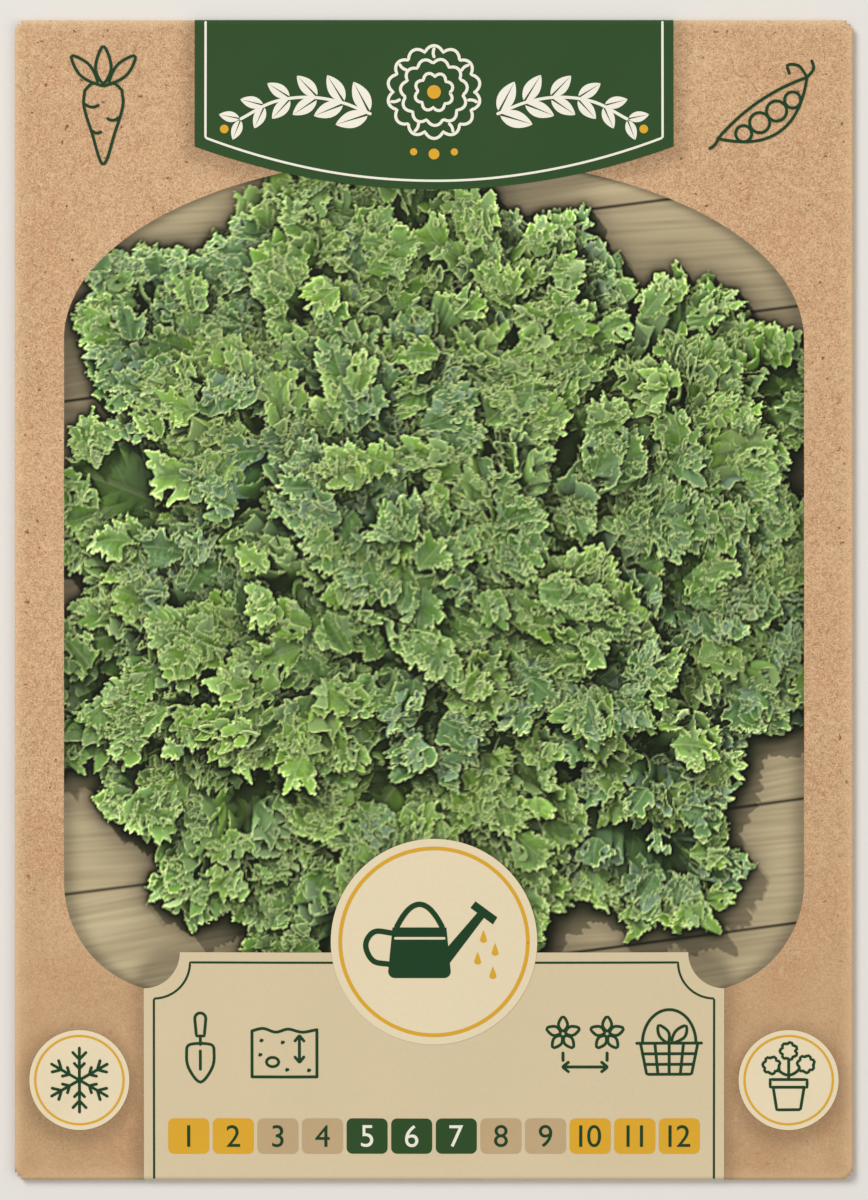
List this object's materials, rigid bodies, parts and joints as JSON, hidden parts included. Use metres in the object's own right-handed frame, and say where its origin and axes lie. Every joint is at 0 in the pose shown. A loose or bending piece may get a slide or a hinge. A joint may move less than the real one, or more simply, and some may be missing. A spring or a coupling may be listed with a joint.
{
  "type": "seed packet",
  "caption": "Sealed flat paper seed packet, folded from one blank, with a glued back seam, a glued flap at each end and loose seeds inside.",
  "frame": {"origin": "on the surface that the packet lies on, under the middle of its outline", "axes": "+X to the right of the printed front, +Y to the front's top edge, +Z out of the front, which faces up"},
  "size_m": [0.1156, 0.16, 0.0049],
  "materials": {
    "kraft_paper": "uncoated kraft paper, matt, with fibres and flecks",
    "print": "flat printing ink on the paper, matt to satin",
    "seed": "dull seed coat"
  },
  "bodies": {
    "root": {"envelope": "kraft_paper", "seeds": "seed"}
  },
  "joints": []
}
